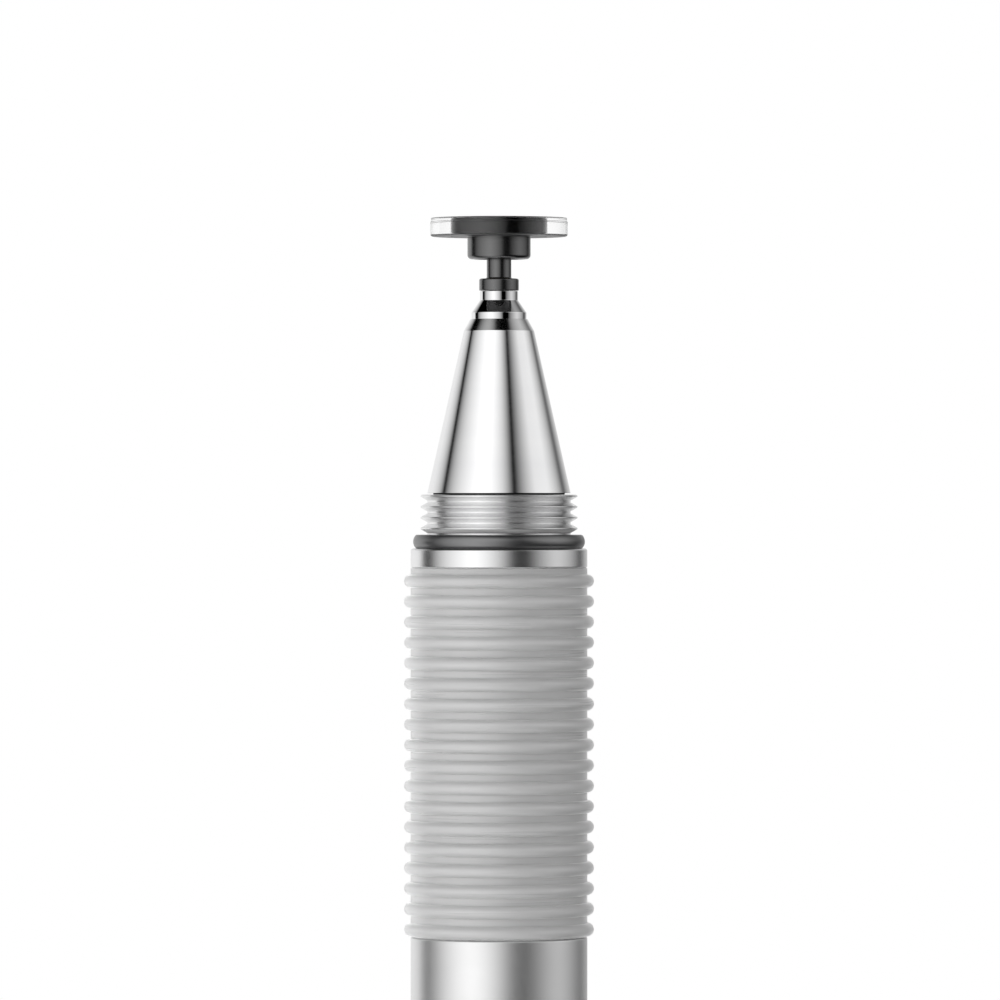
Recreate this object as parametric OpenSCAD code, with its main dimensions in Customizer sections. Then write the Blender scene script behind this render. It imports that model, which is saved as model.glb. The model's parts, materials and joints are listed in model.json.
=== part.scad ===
// Disc-tipped stylus pen, standing on the end of its cap with the tip up.
// The pen's axis is Z. The origin is the middle of the cap's flat end.

/* [Fits] */
// Radial gap between pieces that are fixed to each other
fit_gap = 0.02; // [0.01:0.01:0.05]
// Gap between pieces that slide or turn on each other
run_gap = 0.03; // [0.02:0.01:0.05]
// Bevel on the edges of the barrel, the rings and the cap
edge_bevel = 0.08; // [0.02:0.01:0.2]

/* [Barrel and core tube] */
// Outside diameter of the barrel, the rings and the cap
barrel_d = 9.0; // [8.6:0.1:12]
// Length of the barrel
barrel_len = 80; // [40:1:110]
// Wall of the barrel
barrel_wall = 0.83; // [0.5:0.01:0.9]
// Wall of the core tube and of the tail bush
core_wall = 0.75; // [0.4:0.05:1]
// Length that the core tube and the tail bush reach into the barrel
spigot_len = 10; // [4:0.5:18]
// Thickness of the tail bush's end wall
tail_wall = 1.5; // [0.8:0.1:2.5]
// Height of the plain boss on the tail bush's end
tail_boss_h = 0.5; // [0.2:0.1:1]
// Step from the thread root in to that boss
tail_boss_step = 0.2; // [0.1:0.05:0.5]

/* [Rings and seals] */
// Height of the front ring and the tail ring
ring_h = 1.0; // [0.6:0.1:3]
// How far the seals' widest part lies inside the barrel's surface
seal_inset = 0.12; // [0:0.01:0.2]
// Thickness of the seals along the pen
seal_t = 0.7; // [0.4:0.05:1]
// How far the seals' sides bulge
seal_bulge = 0.15; // [0.05:0.01:0.2]

/* [Grip sleeve] */
// Number of ribs
rib_count = 18; // [6:1:30]
// Distance from rib to rib
rib_pitch = 1.044; // [0.9:0.002:1.6]
// Radius of a rib's half-round section
rib_r = 0.335; // [0.2:0.005:0.4]
// Plain length in front of the first rib
front_plain = 0.32; // [0.1:0.01:2]
// Plain length behind the last rib
rear_plain = 0.03; // [0.02:0.01:2]

/* [Cap thread] */
// Height of the thread's crests over the core tube
thread_depth = 0.35; // [0.2:0.01:0.4]
// Distance from crest to crest
thread_pitch = 0.55; // [0.4:0.05:0.8]
// Number of crests
thread_turns = 4; // [2:1:6]
// Width of the flat on a crest
thread_crest = 0.07; // [0.03:0.01:0.12]
// Width of the flat in a root
thread_root = 0.09; // [0.03:0.01:0.15]
// Distance from the thread's end face to the first crest
thread_lead = 0.08; // [0.06:0.01:0.3]
// Distance from the last crest to the seal
thread_runout = 0.32; // [0.3:0.01:1]

/* [Nose cone] */
// Length of the nose cone that shows
nose_len = 8.94; // [8:0.02:14]
// Diameter where the chamfer meets the long cone
nose_shoulder_d = 3.58; // [3.3:0.02:4.2]
// Length of the chamfer at the mouth
nose_chamfer_len = 0.6; // [0.2:0.05:1.2]
// Width of the flat lip around the mouth
nose_lip = 0.03; // [0.02:0.01:0.1]
// Length of the spigot that is fixed in the core tube
nose_spigot_len = 3; // [1.5:0.5:6]
// Height of the groove between the cone and the thread
nose_groove_h = 0.07; // [0.04:0.01:0.12]
// Depth of that groove
nose_groove_depth = 0.3; // [0.1:0.05:0.4]

/* [Tip plunger] */
// Diameter of the land that slides in the nose cone
plunger_d = 2.8; // [2.5:0.05:3]
// Length of the land that stands out of the mouth
land_h = 0.33; // [0.2:0.01:0.8]
// Length of the taper
taper_h = 0.63; // [0.3:0.01:1.2]
// Diameter of the neck
neck_d = 1.94; // [1.7:0.02:2.3]
// Length of the neck
neck_h = 0.46; // [0.2:0.01:1]
// Length of the land inside the nose cone
guide_len = 3; // [2:0.1:3.4]
// Thickness of the flange behind the land
flange_t = 0.6; // [0.3:0.05:1]
// Travel of the plunger when the tip is pressed
plunge_travel = 0.4; // [0.1:0.05:0.6]

/* [Tip spring] */
// Outside diameter of the spring
spring_d = 3.2; // [3:0.05:3.4]
// Diameter of the spring wire
wire_d = 0.26; // [0.15:0.01:0.3]
// Length of the spring at rest
spring_len = 3; // [2.5:0.1:3.6]
// Number of turns
spring_turns = 6; // [3:1:7]
// Room between the spring and the wall around it
spring_room = 0.2; // [0.1:0.05:0.3]
// Length of the screw behind the spring
screw_len = 1.6; // [1:0.1:2.5]
// Step from the spring's chamber out to the screw
screw_step = 0.3; // [0.15:0.05:0.4]
// Width of the screw's slot
slot_w = 0.5; // [0.3:0.05:0.8]
// Depth of the screw's slot
slot_depth = 0.5; // [0.2:0.05:0.7]

/* [Ball stem] */
// Diameter of the ball
ball_d = 1.8; // [1.6:0.05:1.9]
// Diameter of the stem
stem_d = 1.25; // [1.1:0.01:1.4]
// Length of the stem from the hub to the collar
stem_len = 0.99; // [0.85:0.01:2]
// Height of the flare where the stem meets the collar
stem_flare = 0.06; // [0.02:0.01:0.12]
// Diameter of the collar
collar_d = 2.02; // [1.98:0.01:2.4]
// Height of the collar
collar_h = 0.615; // [0.4:0.005:1.2]
// Rounding of the collar's edges
collar_round = 0.09; // [0.02:0.01:0.15]
// Diameter of the shank that turns in the plunger
shank_d = 1.0; // [0.8:0.05:1.1]
// Length of the plunger's bore below the mouth
shank_bearing = 1.6; // [0.8:0.1:2.2]
// Diameter of the groove that the retainer grips
groove_d = 0.7; // [0.5:0.05:0.75]
// Thickness of the retainer
retainer_t = 0.3; // [0.2:0.05:0.5]
// Diameter of the retainer
retainer_d = 1.5; // [1.3:0.05:1.6]
// Width of the retainer's gap
retainer_gap_w = 0.5; // [0.3:0.05:0.6]

/* [Disc and hub] */
// Diameter of the clear disc
disc_d = 7.0; // [6:0.1:7.2]
// Thickness of the clear disc
disc_t = 0.94; // [0.86:0.02:1.4]
// Thickness of the clear film over the hub
film_t = 0.04; // [0.04:0.01:0.12]
// Rounding of the disc's lower edge
disc_round = 0.12; // [0.04:0.01:0.3]
// Height of the step around the disc's upper edge
rim_step_h = 0.19; // [0.08:0.01:0.2]
// Width of that step
rim_step_w = 0.03; // [0.02:0.01:0.15]
// Rounding of the step's edges
rim_round = 0.02; // [0.02:0.01:0.06]
// Diameter of the hub's flange inside the disc
hub_flange_d = 4.92; // [4:0.02:5.6]
// Diameter of the boss under the disc
boss_d = 3.22; // [3.2:0.02:3.8]
// Height of the boss
boss_h = 1.155; // [1.1:0.005:1.8]
// Rounding of the boss's lower edge
boss_round = 0.21; // [0.05:0.01:0.22]
// Rounding of the hub flange's edges
hub_round = 0.1; // [0.02:0.01:0.2]
// Thickness of the hub over the socket
socket_roof = 0.19; // [0.1:0.01:0.3]
// Wall of the bearing shell around the ball
liner_wall = 0.18; // [0.12:0.01:0.2]
// Tilt of the disc to each side about each of its two axes, in degrees
tilt_max = 25; // [15:1:26]
// Spare angle between the stem and a socket's mouth at full tilt, in degrees
mouth_spare = 2; // [1:0.5:3]

/* [Cap] */
// Wall of the cap
cap_wall = 0.7; // [0.4:0.05:0.75]
// Room between the cap's thread bore and the thread's crests
cap_thread_gap = 0.05; // [0.03:0.01:0.1]
// Gap between the cap's mouth and the seal
cap_seal_gap = 0.05; // [0.02:0.01:0.2]
// Thickness of the cap's end
cap_end_t = 1.0; // [0.6:0.1:3]
// Rounding of the cap's outer end
cap_end_round = 0.4; // [0.1:0.05:0.6]
// Length of the end's plug inside the shell
cap_plug_len = 1.2; // [0.6:0.1:3]
// Thickness of the pad
pad_t = 0.8; // [0.4:0.1:2]
// Room around the pad
pad_gap = 0.05; // [0.02:0.01:0.2]
// Room between the disc and the pad when the cap is on the tip
tip_room = 0.6; // [0.3:0.1:2]

/* [Hidden] */
$fn = 96;
arc_steps = 8;

// Radii
barrel_r = barrel_d / 2;
sleeve_bore_r = barrel_r - barrel_wall;
core_r = sleeve_bore_r - fit_gap;
core_bore_r = core_r - core_wall;
crest_r = core_r + thread_depth;
plunger_r = plunger_d / 2;
mouth_r = plunger_r + run_gap;
chamber_r = spring_d / 2 + spring_room;
plunger_flange_r = chamber_r - run_gap;
spring_boss_r = spring_d / 2 - wire_d - spring_room / 2;
screw_bore_r = chamber_r + screw_step;
shank_bore_r = shank_d / 2 + run_gap;
retainer_bore_r = retainer_d / 2 + run_gap;
cap_bore_r = barrel_r - cap_wall;
cap_thread_r = crest_r + cap_thread_gap;

// Ball joint: the hub tilts on the bearing shell, and the shell tilts on the ball
ball_r = ball_d / 2;
stem_r = stem_d / 2;
liner_in_r = ball_r + run_gap;
liner_out_r = liner_in_r + liner_wall;
socket_r = liner_out_r + run_gap;
both_tilts = acos(cos(tilt_max) * cos(tilt_max));
liner_mouth_angle = asin(stem_r / liner_in_r) + tilt_max + mouth_spare;
socket_mouth_angle = asin(stem_r / socket_r) + both_tilts + mouth_spare;
ball_drop = film_t + socket_roof + socket_r;
ball_lift = boss_h + disc_t - ball_drop;
boss_mouth_r = ball_lift * tan(both_tilts) + stem_r / cos(both_tilts) + run_gap;

// Lengths that follow from the pieces
thread_len = thread_lead + (thread_turns - 1) * thread_pitch + thread_runout;
grip_len = front_plain + (rib_count - 1) * rib_pitch + 2 * rib_r + rear_plain;
plunger_out = land_h + taper_h + neck_h;
tip_reach = thread_len + nose_len + plunger_out + run_gap + collar_h + stem_len + boss_h + disc_t;
cap_floor = cap_end_t + cap_plug_len + pad_t;
cap_len = cap_floor + tip_room + tip_reach - cap_seal_gap;

// Heights, from the end of the cap up to the disc
z_tail_seal = cap_len + cap_seal_gap;
z_tail_thread = z_tail_seal - thread_len;
z_tail_ring = z_tail_seal + seal_t;
z_barrel = z_tail_ring + ring_h;
z_grip = z_barrel + barrel_len;
z_front_ring = z_grip + grip_len;
z_front_seal = z_front_ring + ring_h;
z_thread = z_front_seal + seal_t;
z_nose = z_thread + thread_len;
z_mouth = z_nose + nose_len;
z_plunger_top = z_mouth + plunger_out;
z_collar = z_plunger_top + run_gap;
z_stem = z_collar + collar_h;
z_boss = z_stem + stem_len;
z_disc = z_boss + boss_h;
z_top = z_disc + disc_t;
z_ball = z_top - ball_drop;

// Heights inside the nose cone
z_step = z_mouth - guide_len;
z_flange_top = z_step - run_gap;
z_flange = z_flange_top - flange_t;
z_screw_top = z_flange - spring_len;
z_screw = z_screw_top - screw_len;
z_bearing = z_mouth - shank_bearing;
z_retainer = z_bearing - run_gap - retainer_t;
z_stem_end = z_retainer - retainer_t / 2;

// Points of an arc from angle a to angle b about (x, z)
function arc(x, z, r, a, b) =
    [for (i = [0 : arc_steps])
        let (angle = a + (b - a) * i / arc_steps) [x + r * cos(angle), z + r * sin(angle)]];

// Distance from a crest's flat to the root beside it
thread_flank = (thread_pitch - thread_crest - thread_root) / 2;
// Radius where the first flank meets the thread's end face
thread_face_r = max(core_r, crest_r - (crest_r - core_r) * (thread_lead - thread_crest / 2) / thread_flank);

// Outline of the closed thread rings, from the end face at height z.
// The thread runs down for way 1 and up for way -1.
function thread_side(z, way) = concat(
    [[thread_face_r, z]],
    [for (i = [0 : thread_turns - 1], p = [
        [core_r, -thread_crest / 2 - thread_flank],
        [crest_r, -thread_crest / 2],
        [crest_r, thread_crest / 2],
        [core_r, thread_crest / 2 + thread_flank]
    ]) if (i > 0 || p[1] >= -thread_crest / 2) [p[0], z - way * (thread_lead + i * thread_pitch + p[1])]],
    [[core_r, z - way * thread_len]]
);

// Tube with bevelled outer edges
module tube(outer_r, inner_r, z, h, bevel = edge_bevel) {
    rotate_extrude() polygon([
        [inner_r, z], [outer_r - bevel, z], [outer_r, z + bevel],
        [outer_r, z + h - bevel], [outer_r - bevel, z + h], [inner_r, z + h]
    ]);
}

// Tube whose outer edges are rounded
module rounded_tube(outer_r, inner_r, z, h, round_low, round_high) {
    rotate_extrude() polygon(concat(
        [[inner_r, z]],
        arc(outer_r - round_low, z + round_low, round_low, -90, 0),
        arc(outer_r - round_high, z + h - round_high, round_high, 0, 90),
        [[inner_r, z + h]]
    ));
}

// Cone that opens downwards from the middle of the ball, as far as the given depth
module mouth_cone(angle, depth) {
    translate([0, 0, z_ball - depth])
        cylinder(h = depth, r1 = depth * tan(angle), r2 = 0);
}

module tip_disc() {
    color("aliceblue", 0.45) difference() {
        union() {
            rounded_tube(disc_d / 2, 0, z_disc, disc_t - rim_step_h, disc_round, rim_round);
            rounded_tube(disc_d / 2 - rim_step_w, 0, z_disc + disc_round, disc_t - disc_round,
                rim_round, rim_round);
        }
        translate([0, 0, z_disc - film_t])
            cylinder(h = disc_t, r = hub_flange_d / 2 + fit_gap);
    }
}

module disc_hub() {
    flange_h = disc_t - film_t - fit_gap;
    socket_mouth_depth = socket_r * cos(socket_mouth_angle);
    color("dimgray") difference() {
        union() {
            rounded_tube(hub_flange_d / 2, 0, z_disc, flange_h, hub_round, hub_round);
            rounded_tube(boss_d / 2, 0, z_boss, boss_h + flange_h / 2, boss_round, hub_round);
        }
        translate([0, 0, z_ball]) sphere(r = socket_r);
        rotate_extrude() polygon([
            [0, z_boss - run_gap],
            [boss_mouth_r + run_gap * tan(both_tilts), z_boss - run_gap],
            [socket_r * sin(socket_mouth_angle), z_ball - socket_mouth_depth],
            [0, z_ball - socket_mouth_depth]
        ]);
    }
}

module socket_liner() {
    color("goldenrod") difference() {
        translate([0, 0, z_ball]) sphere(r = liner_out_r);
        translate([0, 0, z_ball]) sphere(r = liner_in_r);
        mouth_cone(liner_mouth_angle, liner_out_r + run_gap);
    }
}

module ball_stem() {
    color("#2b2b2d") union() {
        translate([0, 0, z_ball]) sphere(r = ball_r);
        rotate_extrude() polygon(concat(
            [[0, z_ball], [stem_r, z_ball - sqrt(ball_r * ball_r - stem_r * stem_r)],
             [stem_r, z_stem + stem_flare], [stem_r + stem_flare, z_stem]],
            arc(collar_d / 2 - collar_round, z_stem - collar_round, collar_round, 90, 0),
            arc(collar_d / 2 - collar_round / 2, z_collar + collar_round / 2, collar_round / 2, 0, -90),
            [[shank_d / 2, z_collar], [shank_d / 2, z_retainer + retainer_t],
             [groove_d / 2, z_retainer + retainer_t], [groove_d / 2, z_retainer],
             [shank_d / 2, z_retainer], [shank_d / 2, z_stem_end], [0, z_stem_end]]
        ));
    }
}

module stem_retainer() {
    color("silver") difference() {
        translate([0, 0, z_retainer])
            cylinder(h = retainer_t, r = retainer_d / 2);
        translate([0, 0, z_retainer - retainer_t])
            cylinder(h = 3 * retainer_t, r = groove_d / 2 + fit_gap);
        translate([0, -retainer_gap_w / 2, z_retainer - retainer_t])
            cube([retainer_d, retainer_gap_w, 3 * retainer_t]);
    }
}

// The boss inside the spring meets the screw when the tip is pressed all the way
module tip_plunger() {
    z_boss_end = z_screw_top + plunge_travel + run_gap;
    color("gainsboro") rotate_extrude() polygon([
        [shank_bore_r, z_plunger_top], [neck_d / 2, z_plunger_top], [neck_d / 2, z_plunger_top - neck_h],
        [plunger_r, z_mouth + land_h], [plunger_r, z_flange_top], [plunger_flange_r, z_flange_top],
        [plunger_flange_r, z_flange], [spring_boss_r, z_flange], [spring_boss_r, z_boss_end],
        [retainer_bore_r, z_boss_end], [retainer_bore_r, z_bearing], [shank_bore_r, z_bearing]
    ]);
}

// Coil of round wire between the screw and the plunger's flange
module tip_spring() {
    wire_sides = 8;
    turn_steps = 24;
    wire_r = wire_d / 2;
    coil_r = spring_d / 2 - wire_r;
    rise = spring_len - wire_d;
    rings = spring_turns * turn_steps;
    points = [for (i = [0 : rings], k = [0 : wire_sides - 1])
        let (a = 360 * i / turn_steps, b = 360 * k / wire_sides, r = coil_r + wire_r * cos(b))
            [r * cos(a), r * sin(a), z_screw_top + wire_r + rise * i / rings + wire_r * sin(b)]];
    sides = [for (i = [0 : rings - 1], k = [0 : wire_sides - 1])
        let (a = i * wire_sides + k, b = i * wire_sides + (k + 1) % wire_sides)
            [a, b, b + wire_sides, a + wire_sides]];
    low_end = [for (k = [0 : wire_sides - 1]) wire_sides - 1 - k];
    high_end = [for (k = [0 : wire_sides - 1]) rings * wire_sides + k];
    color("lightsteelblue") polyhedron(points, concat(sides, [low_end, high_end]));
}

module spring_screw() {
    screw_r = screw_bore_r - fit_gap;
    color("tan") difference() {
        tube(screw_r, 0, z_screw, screw_len);
        translate([-screw_r, -slot_w / 2, z_screw - slot_depth])
            cube([2 * screw_r, slot_w, 2 * slot_depth]);
    }
}

module nose_cone() {
    z_spigot = z_nose - nose_spigot_len;
    spigot_r = core_bore_r - fit_gap;
    color("whitesmoke") rotate_extrude() polygon([
        [mouth_r, z_mouth], [mouth_r + nose_lip, z_mouth],
        [nose_shoulder_d / 2, z_mouth - nose_chamfer_len],
        [core_r, z_nose + nose_groove_h], [core_r - nose_groove_depth, z_nose + nose_groove_h],
        [core_r - nose_groove_depth, z_nose], [spigot_r, z_nose],
        [spigot_r, z_spigot + edge_bevel], [spigot_r - edge_bevel, z_spigot], [screw_bore_r, z_spigot],
        [screw_bore_r, z_screw_top], [chamber_r, z_screw_top], [chamber_r, z_step], [mouth_r, z_step]
    ]);
}

module grip_core() {
    z_end = z_grip - spigot_len;
    color("silver") rotate_extrude() polygon(concat(
        [[core_bore_r, z_nose]],
        thread_side(z_nose, 1),
        [[core_r, z_end + edge_bevel], [core_r - edge_bevel, z_end], [core_bore_r, z_end]]
    ));
}

module seal(z) {
    bulge_r = (pow(seal_t / 2, 2) + pow(seal_bulge, 2)) / (2 * seal_bulge);
    bulge_angle = asin(seal_t / 2 / bulge_r);
    rotate_extrude() polygon(concat(
        [[sleeve_bore_r, z]],
        arc(barrel_r - seal_inset - bulge_r, z + seal_t / 2, bulge_r, -bulge_angle, bulge_angle),
        [[sleeve_bore_r, z + seal_t]]
    ));
}

module front_o_ring() {
    color("#3a3a3c") seal(z_front_seal);
}

module front_ring() {
    color("whitesmoke") tube(barrel_r, sleeve_bore_r, z_front_ring, ring_h);
}

module grip_sleeve() {
    color("#c4c4c6") rotate_extrude() union() {
        translate([sleeve_bore_r, z_grip]) square([barrel_r - sleeve_bore_r, grip_len]);
        for (i = [0 : rib_count - 1])
            translate([barrel_r, z_front_ring - front_plain - rib_r - i * rib_pitch]) circle(r = rib_r);
    }
}

module barrel() {
    color("gainsboro") tube(barrel_r, sleeve_bore_r, z_barrel, barrel_len);
}

module tail_ring() {
    color("whitesmoke") tube(barrel_r, sleeve_bore_r, z_tail_ring, ring_h);
}

module tail_o_ring() {
    color("#3a3a3c") seal(z_tail_seal);
}

module tail_bush() {
    z_end = z_barrel + spigot_len;
    z_floor = z_tail_thread + tail_wall;
    tail_boss_r = core_r - tail_boss_step;
    color("silver") rotate_extrude() polygon(concat(
        [[0, z_tail_thread - tail_boss_h], [tail_boss_r, z_tail_thread - tail_boss_h],
         [tail_boss_r, z_tail_thread]],
        thread_side(z_tail_thread, -1),
        [[core_r, z_end - edge_bevel], [core_r - edge_bevel, z_end], [core_bore_r, z_end],
         [core_bore_r, z_floor], [0, z_floor]]
    ));
}

module cap_shell() {
    z_thread_bore = z_tail_thread - tail_boss_h;
    color("gainsboro") rotate_extrude() polygon([
        [cap_bore_r, cap_end_t], [barrel_r - edge_bevel, cap_end_t], [barrel_r, cap_end_t + edge_bevel],
        [barrel_r, cap_len - edge_bevel], [barrel_r - edge_bevel, cap_len], [cap_thread_r, cap_len],
        [cap_thread_r, z_thread_bore], [cap_bore_r, z_thread_bore]
    ]);
}

module cap_pad() {
    color("slategray") translate([0, 0, cap_end_t + cap_plug_len])
        cylinder(h = pad_t, r = cap_bore_r - pad_gap);
}

module cap_end() {
    plug_r = cap_bore_r - fit_gap;
    color("gainsboro") rotate_extrude() polygon(concat(
        [[0, 0]],
        arc(barrel_r - cap_end_round, cap_end_round, cap_end_round, -90, 0),
        [[barrel_r, cap_end_t - edge_bevel], [barrel_r - edge_bevel, cap_end_t], [plug_r, cap_end_t],
         [plug_r, cap_end_t + cap_plug_len], [0, cap_end_t + cap_plug_len]]
    ));
}

tip_disc();
disc_hub();
socket_liner();
ball_stem();
stem_retainer();
tip_plunger();
tip_spring();
spring_screw();
nose_cone();
grip_core();
front_o_ring();
front_ring();
grip_sleeve();
barrel();
tail_ring();
tail_o_ring();
tail_bush();
cap_shell();
cap_pad();
cap_end();
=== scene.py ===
"""Looks of the disc-tipped stylus pen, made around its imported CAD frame.

The pen is a stack of lathe work on the Z axis. Each turned piece takes its section from the
frame's node, gets its corners rounded and is spun again, finer. Blender works in metres,
and mm() and per() turn real sizes in millimetres to it.
"""
import json
import math
from collections import namedtuple

import bmesh
import bpy
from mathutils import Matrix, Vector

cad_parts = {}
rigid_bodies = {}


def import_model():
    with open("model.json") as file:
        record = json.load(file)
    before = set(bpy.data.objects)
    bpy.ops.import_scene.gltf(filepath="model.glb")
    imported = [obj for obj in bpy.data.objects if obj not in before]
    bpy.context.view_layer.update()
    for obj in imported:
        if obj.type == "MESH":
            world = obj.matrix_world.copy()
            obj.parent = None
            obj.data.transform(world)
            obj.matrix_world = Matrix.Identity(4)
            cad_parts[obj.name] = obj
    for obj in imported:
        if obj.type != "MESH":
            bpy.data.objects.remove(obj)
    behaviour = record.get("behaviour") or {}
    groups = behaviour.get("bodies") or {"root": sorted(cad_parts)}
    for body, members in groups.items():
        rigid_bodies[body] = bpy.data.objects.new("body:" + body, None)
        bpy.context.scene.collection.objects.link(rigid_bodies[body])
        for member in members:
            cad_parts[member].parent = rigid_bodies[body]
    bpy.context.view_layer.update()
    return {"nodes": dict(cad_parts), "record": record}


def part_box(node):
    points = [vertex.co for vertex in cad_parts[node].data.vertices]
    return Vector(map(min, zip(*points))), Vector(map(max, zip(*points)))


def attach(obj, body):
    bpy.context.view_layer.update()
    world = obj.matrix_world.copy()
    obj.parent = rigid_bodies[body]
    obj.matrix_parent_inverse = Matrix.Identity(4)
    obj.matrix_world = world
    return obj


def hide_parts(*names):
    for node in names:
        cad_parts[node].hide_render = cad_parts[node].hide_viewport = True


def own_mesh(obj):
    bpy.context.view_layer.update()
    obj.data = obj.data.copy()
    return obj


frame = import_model()

MM = 1000  # millimetres in a metre
POINTS_TOUCH = 1e-7  # metres within which points are one
CUT_TOUCH = 1e-8  # metres within which a point is on the plane of a cut
CORNER_STEPS = 3  # flats in a rounded corner
ENLARGED = 1000  # times the real size, at which metres stand for millimetres

nodes = frame["nodes"]
behaviour = frame["record"]["behaviour"]
BODY_OF = {node: body for body, members in behaviour["bodies"].items() for node in members}


def mm(length):
    """Millimetres as metres."""
    return length / MM


# Modelling


def deselect():
    """Leaves nothing selected, because an operator acts on all that is."""
    bpy.ops.object.select_all(action="DESELECT")


def resize(piece, factor):
    """Scales a piece's mesh about the origin."""
    piece.scale = (factor, factor, factor)
    bpy.ops.object.transform_apply(location=False, rotation=False, scale=True)


def select_corners(piece, sharp):
    """Selects the points where a drawn section turns by more than this angle in degrees."""
    mesh = bmesh.from_edit_mesh(piece.data)
    for point in mesh.verts:
        ways = [edge.other_vert(point).co - point.co for edge in point.link_edges]
        point.select = len(ways) == 2 and math.pi - ways[0].angle(ways[1]) > math.radians(sharp)
    mesh.select_flush_mode()
    bmesh.update_edit_mesh(piece.data)


def copied(node, name):
    """A copy of a CAD node's mesh with its points merged and without the frame's marks."""
    deselect()
    nodes[node].select_set(True)
    bpy.context.view_layer.objects.active = nodes[node]
    bpy.ops.object.duplicate()
    piece = bpy.context.object
    piece.name = piece.data.name = name
    for mark in list(piece.keys()):
        del piece[mark]
    bpy.ops.object.parent_clear(type="CLEAR_KEEP_TRANSFORM")
    bpy.ops.mesh.customdata_custom_splitnormals_clear()
    bpy.ops.object.mode_set(mode="EDIT")
    bpy.ops.mesh.select_mode(type="VERT")
    bpy.ops.mesh.select_all(action="SELECT")
    bpy.ops.mesh.remove_doubles(threshold=POINTS_TOUCH)
    bpy.ops.object.mode_set(mode="OBJECT")
    return piece


def put_in(piece, node):
    """Puts a piece in the place of a CAD node, on the same body, and hides the node."""
    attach(piece, BODY_OF[node])
    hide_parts(node)


def turned(node, name, rounding, sharp, around=192):
    """A piece spun from the half section of a CAD node, whose place it takes.

    Its corners, which are those sharper than this many degrees, are rounded by this many mm.
    """
    piece = copied(node, name)

    # The cuts leave the outline of the section, and of that the half on the +X side
    bpy.ops.object.mode_set(mode="EDIT")
    bpy.ops.mesh.select_all(action="SELECT")
    bpy.ops.mesh.bisect(plane_co=(0, 0, 0), plane_no=(0, 1, 0), clear_inner=True, clear_outer=True,
                        threshold=CUT_TOUCH)
    bpy.ops.mesh.select_all(action="SELECT")
    bpy.ops.mesh.bisect(plane_co=(0, 0, 0), plane_no=(1, 0, 0), clear_inner=True, threshold=CUT_TOUCH)

    select_corners(piece, sharp)
    bpy.ops.mesh.bevel(affect="VERTICES", offset=mm(rounding), segments=CORNER_STEPS, clamp_overlap=True)
    bpy.ops.mesh.select_all(action="SELECT")
    bpy.ops.mesh.spin(steps=around, angle=math.tau, center=(0, 0, 0), axis=(0, 0, 1))
    bpy.ops.mesh.select_all(action="SELECT")
    bpy.ops.mesh.remove_doubles(threshold=POINTS_TOUCH)
    bpy.ops.mesh.normals_make_consistent(inside=False)
    bpy.ops.object.mode_set(mode="OBJECT")
    bpy.ops.object.shade_smooth_by_angle(angle=math.radians(sharp))

    # The modifier passes over faces as small as these, so the piece is larger while it works
    resize(piece, ENLARGED)
    bpy.ops.object.modifier_add(type="WEIGHTED_NORMAL")
    piece.modifiers[-1].keep_sharp = True
    bpy.ops.object.modifier_apply(modifier=piece.modifiers[-1].name)
    resize(piece, 1 / ENLARGED)
    put_in(piece, node)
    return piece


# Rubber has softer corners than turned metal, apart from the cap's plug, which is rounded for the hand
disc = turned("tip_disc", "disc_clear", rounding=0.02, sharp=20)
hub = turned("disc_hub", "hub_black", rounding=0.03, sharp=30)
stem = turned("ball_stem", "stem_black", rounding=0.03, sharp=30)
plunger = turned("tip_plunger", "plunger_chrome", rounding=0.015, sharp=14)
cone = turned("nose_cone", "cone_chrome", rounding=0.02, sharp=14)
core = turned("grip_core", "core_threaded", rounding=0.015, sharp=25)
front_seal = turned("front_o_ring", "seal_front", rounding=0.04, sharp=35)
front_ring = turned("front_ring", "ring_front", rounding=0.02, sharp=14)
sleeve = turned("grip_sleeve", "sleeve_ribbed", rounding=0.05, sharp=35, around=128)
barrel = turned("barrel", "barrel_satin", rounding=0.03, sharp=14)
tail_ring = turned("tail_ring", "ring_tail", rounding=0.02, sharp=14)
tail_seal = turned("tail_o_ring", "seal_tail", rounding=0.04, sharp=35)
bush = turned("tail_bush", "bush_threaded", rounding=0.015, sharp=25)
cap = turned("cap_shell", "cap_tube", rounding=0.03, sharp=14)
cap_plug = turned("cap_end", "cap_plug", rounding=0.05, sharp=14)

# The tip's spring, which shortens between its screw and the plunger as the tip goes in, is a smooth-shaded
# copy of its CAD node
COIL_SHARP = 40  # degrees, over which the bend between two faces of the wire is an edge
spring = copied("tip_spring", "spring_coil")
bpy.ops.object.shade_smooth_by_angle(angle=math.radians(COIL_SHARP))
put_in(spring, "tip_spring")
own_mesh(spring)


# Materials


def srgb(colour):
    """A hex colour as the linear colour that a shader takes, by the curve of the sRGB standard."""
    parts = [int(colour[i:i + 2], 16) / 255 for i in (1, 3, 5)]
    return (*[p / 12.92 if p <= 0.04045 else ((p + 0.055) / 1.055) ** 2.4 for p in parts], 1)


def per(size):
    """Texture scale whose cells are this many millimetres wide."""
    return MM / size


def feed(node, inputs):
    """Sets a node's inputs, or links those that are given another node's output."""
    for key, value in inputs.items():
        if isinstance(value, bpy.types.NodeSocket):
            node.id_data.links.new(value, node.inputs[key])
        else:
            node.inputs[key].default_value = value


def add(tree, kind, inputs=None, **settings):
    """Adds a node with its settings and its inputs."""
    made = tree.nodes.new(kind)
    for key, value in settings.items():
        setattr(made, key, value)
    feed(made, inputs or {})
    return made


EVEN = (1, 1, 1)  # the same along all three axes, or in all three colours
LATHE = (0.02, 0.02, 1)  # noise drawn out round the pen, as a lathe tool's marks are
NOISE_RANGE = {"From Min": 0.3, "From Max": 0.7}  # noise seldom leaves it
FIRST_COLOUR, SECOND_COLOUR, MIXED_COLOUR = 6, 7, 2  # sockets of a Mix node that mixes colours


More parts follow.
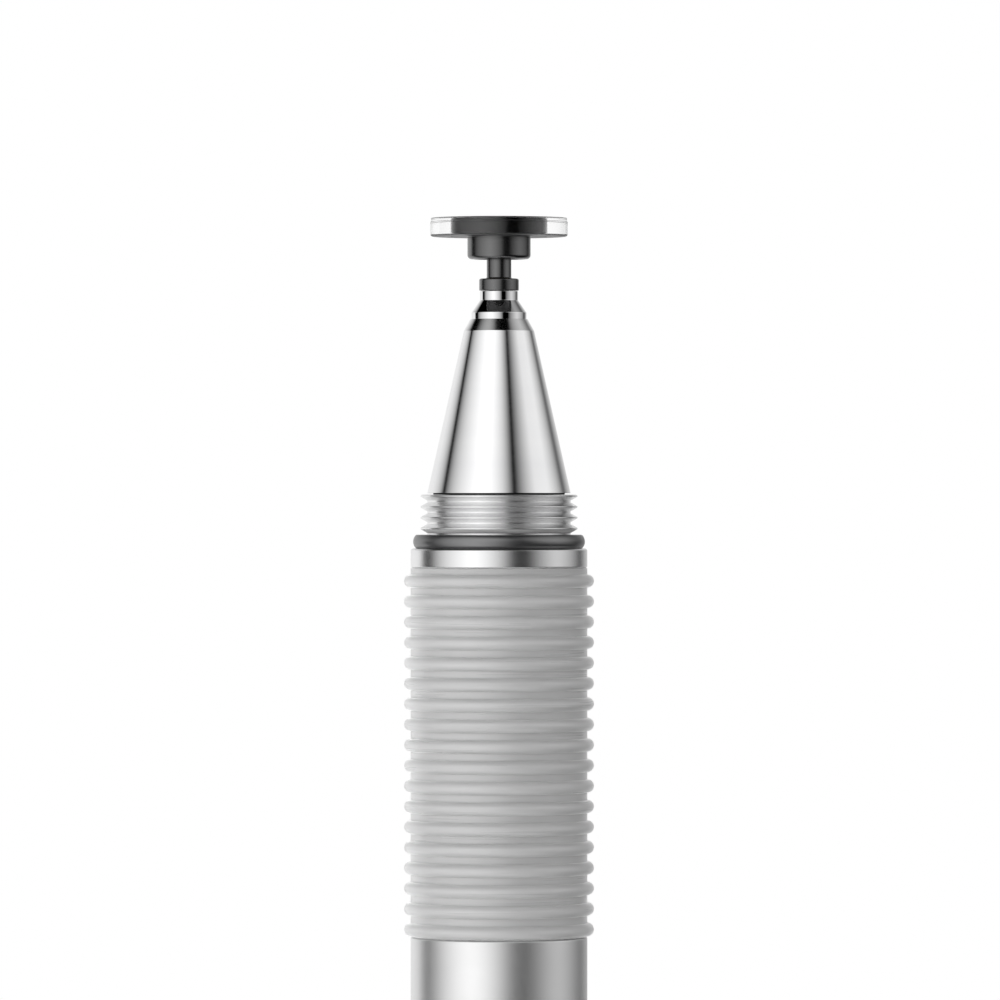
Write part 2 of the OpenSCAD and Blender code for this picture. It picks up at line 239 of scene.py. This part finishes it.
def finish(name, shader, colours, roughness, cells, depth, drawn=EVEN, patch=1.5):
    """A new material on a Principled shader, which gets the settings in shader.

    Patches this many mm wide take it from the first hex colour to the second. Its grain has cells
    this many mm wide and bumps this many mm deep, and takes its roughness from low to high.
    """
    material = bpy.data.materials.new(name)
    material.use_nodes = True
    tree = material.node_tree
    place = add(tree, "ShaderNodeTexCoord").outputs["Object"]
    place = add(tree, "ShaderNodeMapping", {"Vector": place, "Scale": drawn}).outputs["Vector"]
    patches = add(tree, "ShaderNodeTexNoise", {"Vector": place, "Scale": per(patch)}).outputs["Fac"]
    grain = add(tree, "ShaderNodeTexNoise", {"Vector": place, "Scale": per(cells)}).outputs["Fac"]
    share = add(tree, "ShaderNodeMapRange", {"Value": patches, **NOISE_RANGE}).outputs["Result"]
    colour = add(tree, "ShaderNodeMix", {
        "Factor": share, FIRST_COLOUR: srgb(colours[0]), SECOND_COLOUR: srgb(colours[1])}, data_type="RGBA")
    gloss = add(tree, "ShaderNodeMapRange", {
        "Value": grain, **NOISE_RANGE, "To Min": roughness[0], "To Max": roughness[1]})
    bump = add(tree, "ShaderNodeBump", {"Height": grain, "Distance": mm(depth)})
    feed(tree.nodes["Principled BSDF"], {
        "Base Color": colour.outputs[MIXED_COLOUR], "Roughness": gloss.outputs["Result"],
        "Normal": bump.outputs["Normal"], **shader})
    return material


METAL = {"Metallic": 1.0}
PLASTIC = {"IOR": 1.8, "Specular IOR Level": 1.0}  # carbon filling makes it shinier than plain plastic
ACRYLIC = {"IOR": 1.49, "Transmission Weight": 1.0}

# The real grain of most of these finishes is under 0.05 mm wide and wouldn't show, so its cells are coarser

# Mirror chrome: clean black and white reflections with hard edges
mirror_chrome = finish(
    "Chrome_plate_mirror_polished", METAL, colours=("#f2f2f3", "#f8f8f8"), roughness=(0.03, 0.05),
    cells=0.6, depth=0.00002)

# Polished chrome: the same plate over a turned cone, whose reflections have slightly soft edges
polished_chrome = finish(
    "Chrome_plate_polished", METAL, colours=("#f3f3f4", "#f8f8f8"), roughness=(0.11, 0.13),
    cells=0.25, depth=0.00004, drawn=LATHE)

# Buffed chrome: the plate over fine buffing marks, which blur its reflections
buffed_chrome = finish(
    "Chrome_plate_buffed", METAL, colours=("#f6f6f7", "#fafafa"), roughness=(0.25, 0.27),
    cells=0.2, depth=0.00005, drawn=LATHE)

# Turned steel: soft reflections with faint tool marks around the thread
turned_steel = finish(
    "Stainless_steel_turned", {"Metallic": 0.88}, colours=("#eaeaeb", "#f4f4f4"), roughness=(0.17, 0.23),
    cells=0.1, depth=0.0001, drawn=LATHE)

# The same steel on the thread's last flank, which the tool left matt and pale as it ran out
matt_steel = finish(
    "Stainless_steel_tool_runout", {"Metallic": 0.3}, colours=("#f0f0f0", "#fafafa"), roughness=(0.45, 0.55),
    cells=0.1, depth=0.0003, drawn=LATHE)

# Metal in the narrow groove over the thread, dull, and painted dark as the shade that falls in the groove
groove_shade_steel = finish(
    "Steel_with_painted_groove_shade", {"Metallic": 0.5}, colours=("#303030", "#3c3c3c"), roughness=(0.6, 0.8),
    cells=0.1, depth=0.0003, drawn=LATHE)

# Anodised aluminium: bead blasting spreads the reflections into broad soft bands
satin_aluminium = finish(
    "Anodised_aluminium_satin", METAL, colours=("#f6f6f6", "#fbfbfb"), roughness=(0.37, 0.41),
    cells=0.15, depth=0.0004, patch=3)

# Nitrile rubber: near black under a glossy moulded skin
nitrile = finish(
    "Nitrile_rubber_moulded", {"IOR": 2.0, "Specular IOR Level": 1.0}, colours=("#2c2c2e", "#343435"),
    roughness=(0.28, 0.34), cells=0.12, depth=0.0005)

# Silicone: light gets under its skin, which softens the ribs' shading and lights their far edges.
# Its flow round the mould shows as faint streaks.
SILICONE = {"IOR": 1.8, "Subsurface Weight": 0.8, "Subsurface Scale": mm(0.8), "Subsurface Radius": EVEN,
            "Sheen Weight": 1.0, "Sheen Roughness": 0.25}
silicone = finish(
    "Silicone_translucent_grey", SILICONE, colours=("#c3c3c3", "#cbcbcb"), roughness=(0.27, 0.33),
    cells=0.14, depth=0.0015, drawn=LATHE, patch=0.22)

# Carbon-filled plastic: black with a satin sheen
black_plastic = finish(
    "Conductive_plastic_moulded", PLASTIC, colours=("#101011", "#161616"), roughness=(0.19, 0.22),
    cells=0.12, depth=0.0003, drawn=LATHE)

# The same plastic where the clear disc covers it: the disc takes its gloss away
covered_plastic = finish(
    "Conductive_plastic_covered", {**PLASTIC, "Specular IOR Level": 0.1}, colours=("#101011", "#161616"),
    roughness=(0.3, 0.4), cells=0.12, depth=0.0003, drawn=LATHE)

# Acrylic: clear and hard, bright where it shows the white behind it
acrylic = finish(
    "Acrylic_clear_moulded", ACRYLIC, colours=("#fdfdfd", "#ffffff"), roughness=(0.0, 0.005),
    cells=0.6, depth=0.00001)

# Its underside and lower edge are ground, which frosts them from above. Their grey, which also marks the
# step and the upper edge's flats, is painted shade for how dark they look from the side
ground_acrylic_with_painted_shade = finish(
    "Acrylic_ground_painted_shade", {**ACRYLIC, "Transmission Weight": 0.85, "Specular IOR Level": 0.4},
    colours=("#606061", "#6c6c6d"), roughness=(0.35, 0.45), cells=0.1, depth=0.001)

# Bearing bronze: bright from the tool, a little dull where it has been handled
bronze = finish(
    "Bronze_bearing_plain", METAL, colours=("#b08d57", "#c39a62"), roughness=(0.25, 0.4), cells=0.1,
    depth=0.0005)

# Brass: bright yellow with the lathe tool's marks
brass = finish(
    "Brass_turned", METAL, colours=("#cfae62", "#dcbd74"), roughness=(0.2, 0.3), cells=0.1, depth=0.0005,
    drawn=LATHE)

# Spring steel: grey and fairly shiny from the drawing die
spring_steel = finish(
    "Spring_steel_drawn", METAL, colours=("#a3a4a5", "#bcbdbe"), roughness=(0.2, 0.3), cells=0.1,
    depth=0.0005)

# Closed-cell foam: dull and pitted
foam = finish(
    "Foam_closed_cell", {}, colours=("#3a3b3d", "#4c4d4f"), roughness=(0.85, 0.95), cells=0.2, depth=0.05)

# Paper of the studio's floor: white and dull
paper = finish(
    "Paper_sweep_matt", {}, colours=("#f1f1f2", "#f3f3f4"), roughness=(0.85, 0.95), cells=0.3, depth=0.01)


# Dressing the pieces


def dress(material, *pieces):
    """Gives pieces their only material."""
    for piece in pieces:
        piece.data.materials.clear()
        piece.data.materials.append(material)


def dress_part(material, piece, here):
    """Gives the faces that are in a place another material. Places are asked in mm, as (radius, height)."""
    piece.data.materials.append(material)
    for face in piece.data.polygons:
        x, y, z = face.center * MM
        if here(math.hypot(x, y), z):
            face.material_index = len(piece.data.materials) - 1


disc_low, disc_high = [corner.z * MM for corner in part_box("tip_disc")]
hub_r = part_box("disc_hub")[1].x * MM
thread_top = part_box("grip_core")[1].z * MM
ON_PLANE = 0.01  # mm within which a face's middle is on a plane
BOSS_R = 1.7  # mm, outside which the hub is inside the disc
GROUND_SHADE_H = 0.08  # mm up to which the disc's lower edge is ground and painted grey for shade
STEP = (0.189, 0.21)  # mm from the disc's top down to its step's edge, which is painted grey for shade
TOP_EDGE = (0.001, 0.02)  # mm from the disc's top down to its upper edge's flats, which are painted grey for shade
LAST_FLANK = (1.78, 1.95)  # mm from the thread's top down to the middles of its last flank
GROOVE_H = 0.08  # mm over the thread's top, up to which the cone has its groove
GROOVE_R = 3.2  # mm, outside which it has it


def is_ground_and_shaded(radius, height):
    """The disc's underside and lower edge, which are ground, and its step and the flats of its upper edge:
    all painted grey for shade.
    """
    down = disc_high - height
    return height < disc_low + GROUND_SHADE_H or STEP[0] < down < STEP[1] or TOP_EDGE[0] < down < TOP_EDGE[1]


def is_under_the_film(radius, height):
    """The lower face of the disc's film, which is stuck to the hub and shows its black plastic."""
    return radius < hub_r - ON_PLANE and height < disc_high - ON_PLANE


def is_in_the_disc(radius, height):
    """The hub's flange."""
    return radius > BOSS_R and height > disc_low - ON_PLANE


def is_in_the_groove(radius, height):
    """The narrow groove between the cone and the thread."""
    return radius > GROOVE_R and height < thread_top + GROOVE_H


def is_last_flank(radius, height):
    """The thread's flank by the seal."""
    return LAST_FLANK[0] < thread_top - height < LAST_FLANK[1]


dress(acrylic, disc)
# Painted shade: the ground acrylic's grey darkens the disc's underside, lower edge, step and upper edge
dress_part(ground_acrylic_with_painted_shade, disc, is_ground_and_shaded)
dress_part(black_plastic, disc, is_under_the_film)
dress(black_plastic, hub, stem)
dress_part(covered_plastic, hub, is_in_the_disc)
dress(mirror_chrome, plunger)
dress(polished_chrome, cone)
# Painted shade: the groove's faces are coloured dark for the shade inside it
dress_part(groove_shade_steel, cone, is_in_the_groove)
dress(buffed_chrome, front_ring, tail_ring)
dress(turned_steel, core, bush)
dress_part(matt_steel, core, is_last_flank)
dress(nitrile, front_seal, tail_seal)
dress(silicone, sleeve)
dress(satin_aluminium, barrel, cap, cap_plug)
dress(bronze, nodes["socket_liner"])
dress(spring_steel, spring, nodes["stem_retainer"])
dress(brass, nodes["spring_screw"])
dress(foam, nodes["cap_pad"])


# Floor

FLOOR_R = 140  # mm
FLOOR_SIDES = 96
FLOOR_DROP = 0.02  # mm that the floor lies under the pen, so that the two don't touch
FLOOR_PALE, FLOOR_GONE = 30, 120  # mm from the pen, between which the floor clears
FLOOR_LIFT = 0.48  # brightness that the floor has for the camera and in reflections, over its own
WHITE = srgb("#ffffff")

deselect()
bpy.ops.mesh.primitive_circle_add(vertices=FLOOR_SIDES, radius=mm(FLOOR_R), fill_type="NGON",
                                  location=(0, 0, -mm(FLOOR_DROP)))
floor = bpy.context.object
floor.name = "floor"
dress(paper, floor)

# The floor is pale near the pen, where it takes the shadow, and clears to the white backdrop
tree = paper.node_tree
rays = add(tree, "ShaderNodeLightPath").outputs
seen = add(tree, "ShaderNodeMath", {0: rays["Is Camera Ray"], 1: rays["Is Glossy Ray"]},
           operation="MAXIMUM").outputs[0]
seen = add(tree, "ShaderNodeMath", {0: seen, 1: rays["Is Transmission Ray"]}, operation="MAXIMUM").outputs[0]
lift = add(tree, "ShaderNodeMath", {0: seen, 1: FLOOR_LIFT}, operation="MULTIPLY").outputs[0]
feed(tree.nodes["Principled BSDF"], {"Emission Color": WHITE, "Emission Strength": lift})
place = add(tree, "ShaderNodeTexCoord").outputs["Object"]
distance = add(tree, "ShaderNodeVectorMath", {0: place}, operation="LENGTH").outputs["Value"]
clear = add(tree, "ShaderNodeMapRange", {
    "Value": distance, "From Min": mm(FLOOR_PALE), "From Max": mm(FLOOR_GONE)},
    interpolation_type="SMOOTHSTEP").outputs["Result"]
nothing = add(tree, "ShaderNodeBsdfTransparent").outputs["BSDF"]
clearing = add(tree, "ShaderNodeMixShader", {
    "Fac": clear, 1: tree.nodes["Principled BSDF"].outputs["BSDF"], 2: nothing}).outputs["Shader"]
feed(tree.nodes["Material Output"], {"Surface": clearing})


# Studio

# Soft light from panels that face the pen out of the dark. Azimuth 0 is the camera's side and 90 the
# pen's right. The other angles are in degrees from the panel's middle, as the pen sees them: where its
# light is gone and where it is full to the left, full and gone to the right, gone and full below, and
# full and gone above. Its left and right edges lean out by a share of the height over the pen's tip.
Panel = namedtuple("Panel", "azimuth level left left_lean right right_lean below above")

# White backdrop behind the pen
BACKDROP = Panel(azimuth=180, level=0.88, left=(-49, 3), left_lean=0.4, right=(54, 63), right_lean=2.4,
                 below=(-61, -50), above=(11, 47))

# Large soft box at the front left
LEFT_BOX = Panel(azimuth=-40, level=1.17, left=(-61, 4), left_lean=0.12, right=(7, 57), right_lean=0.56,
                 below=(-61, -50), above=(35, 61))

# Smaller soft box at the right
RIGHT_BOX = Panel(azimuth=82, level=0.95, left=(-43, -4), left_lean=0.58, right=(3, 49), right_lean=0.27,
                  below=(-30, 15), above=(15, 60))

world = bpy.data.worlds.new("studio")
bpy.context.scene.world = world
world.use_nodes = True
tree = world.node_tree
tree.nodes.clear()
direction = add(tree, "ShaderNodeTexCoord").outputs["Generated"]
light = 0.0
for panel in (BACKDROP, LEFT_BOX, RIGHT_BOX):
    faced = add(tree, "ShaderNodeVectorRotate", {"Vector": direction, "Angle": -math.radians(panel.azimuth)},
                rotation_type="Z_AXIS").outputs[0]
    x, y, z = add(tree, "ShaderNodeSeparateXYZ", {0: faced}).outputs
    ahead = add(tree, "ShaderNodeMath", {0: y, 1: -1.0}, operation="MULTIPLY").outputs[0]
    across = add(tree, "ShaderNodeMath", {0: x, 1: ahead}, operation="DIVIDE").outputs[0]
    up = add(tree, "ShaderNodeMath", {0: z, 1: ahead}, operation="DIVIDE").outputs[0]
    raised = add(tree, "ShaderNodeMath", {0: up, 1: 0.0}, operation="MAXIMUM").outputs[0]
    share = add(tree, "ShaderNodeMath", {0: ahead, 1: 0.0}, operation="GREATER_THAN").outputs[0]
    for place, lean, (gone, full) in (
            (across, panel.left_lean, panel.left), (across, -panel.right_lean, panel.right[::-1]),
            (up, 0.0, panel.below), (up, 0.0, panel.above[::-1])):
        leant = add(tree, "ShaderNodeMath", {0: raised, 1: lean, 2: place},
                    operation="MULTIPLY_ADD").outputs[0]
        edge = add(tree, "ShaderNodeMapRange", {
            "Value": leant, "From Min": math.tan(math.radians(gone)),
            "From Max": math.tan(math.radians(full))}).outputs[0]
        share = add(tree, "ShaderNodeMath", {0: share, 1: edge}, operation="MULTIPLY").outputs[0]
    light = add(tree, "ShaderNodeMath", {0: share, 1: panel.level, 2: light},
                operation="MULTIPLY_ADD").outputs[0]

# The camera sees white all round, and so does what is seen through the clear disc, except overhead.
# What the disc's wall mirrors is white at the back only, and the black plastic in it mirrors the studio.
UNMIRRORED = 0.5  # glossy bounces, under which a ray hasn't been mirrored
IN_THE_WALL = 2.5  # transmissions, under which a ray is still in the disc's wall
BACKWARDS = 0.4  # how far back a ray points where it finds full white
NO_WHITE_UP, FULL_WHITE_UP = 0.5, 0.2  # how far up a ray points where it finds none, and all of it

rays = add(tree, "ShaderNodeLightPath").outputs
_, back, high = add(tree, "ShaderNodeSeparateXYZ", {0: direction}).outputs
straight = add(tree, "ShaderNodeMath", {0: rays["Glossy Depth"], 1: UNMIRRORED},
               operation="LESS_THAN").outputs[0]
in_wall = add(tree, "ShaderNodeMath", {0: rays["Transmission Depth"], 1: IN_THE_WALL},
              operation="LESS_THAN").outputs[0]
behind = add(tree, "ShaderNodeMapRange", {"Value": back, "From Max": BACKWARDS}).outputs[0]
clear = add(tree, "ShaderNodeMath", {0: in_wall, 1: behind}, operation="MULTIPLY").outputs[0]
clear = add(tree, "ShaderNodeMath", {0: straight, 1: clear}, operation="MAXIMUM").outputs[0]
clear = add(tree, "ShaderNodeMath", {0: clear, 1: rays["Is Transmission Ray"]},
            operation="MULTIPLY").outputs[0]
low = add(tree, "ShaderNodeMapRange", {
    "Value": high, "From Min": NO_WHITE_UP, "From Max": FULL_WHITE_UP}).outputs[0]
clear = add(tree, "ShaderNodeMath", {0: clear, 1: low}, operation="MULTIPLY").outputs[0]
white = add(tree, "ShaderNodeMath", {0: rays["Is Camera Ray"], 1: clear}, operation="MAXIMUM").outputs[0]
strength = add(tree, "ShaderNodeMath", {0: light, 1: white}, operation="MAXIMUM").outputs[0]
background = add(tree, "ShaderNodeBackground", {"Color": WHITE, "Strength": strength}).outputs["Background"]
add(tree, "ShaderNodeOutputWorld", {"Surface": background})

LAMP_AWAY = 900  # mm from the pen
LAMP_W = 500  # mm
LAMPS_FACE = 90  # mm up the pen
LOOK_AHEAD = math.radians(90)  # turn of a lamp or camera, which faces down when it is added


def soft_lamp(name, azimuth, elevation, watts):
    """A square lamp that faces the pen. Metal mirrors the studio above instead of it."""
    turn = math.radians(azimuth)
    rise = math.radians(elevation)
    x = mm(LAMP_AWAY) * math.sin(turn) * math.cos(rise)
    y = -mm(LAMP_AWAY) * math.cos(turn) * math.cos(rise)
    z = mm(LAMP_AWAY) * math.sin(rise) + mm(LAMPS_FACE)
    deselect()
    bpy.ops.object.light_add(type="AREA", location=(x, y, z), rotation=(LOOK_AHEAD - rise, 0, turn))
    lamp = bpy.context.object
    lamp.name = name
    lamp.data.size = mm(LAMP_W)
    lamp.data.energy = watts
    lamp.visible_glossy = lamp.visible_transmission = False


soft_lamp("key_lamp", azimuth=-50, elevation=-4, watts=3.6)
soft_lamp("fill_lamp", azimuth=70, elevation=-4, watts=2.1)
soft_lamp("left_rim_lamp", azimuth=-140, elevation=0, watts=4.2)
soft_lamp("right_rim_lamp", azimuth=150, elevation=0, watts=2.8)


# Camera

CAMERA_AWAY = 430  # mm from the pen's axis to the lens
EYE_DROP = 0.278  # mm from the thread's top down to the camera's height
SIDE_STEP = 0.05  # mm that the camera stands to the right of the pen's axis
VIEW_W = 50.97  # mm of the picture's width at the pen
SENSOR_W = 36.0  # mm
NEAREST, FARTHEST = 10, 10000  # mm that the camera sees

deselect()
bpy.ops.object.camera_add(location=(mm(SIDE_STEP), -mm(CAMERA_AWAY), mm(thread_top - EYE_DROP)),
                          rotation=(LOOK_AHEAD, 0, 0))
camera = bpy.context.object
camera.data.sensor_width = SENSOR_W
camera.data.lens = SENSOR_W * CAMERA_AWAY / VIEW_W
camera.data.clip_start = mm(NEAREST)
camera.data.clip_end = mm(FARTHEST)
bpy.context.scene.camera = camera
bpy.context.scene.view_settings.view_transform = "Standard"
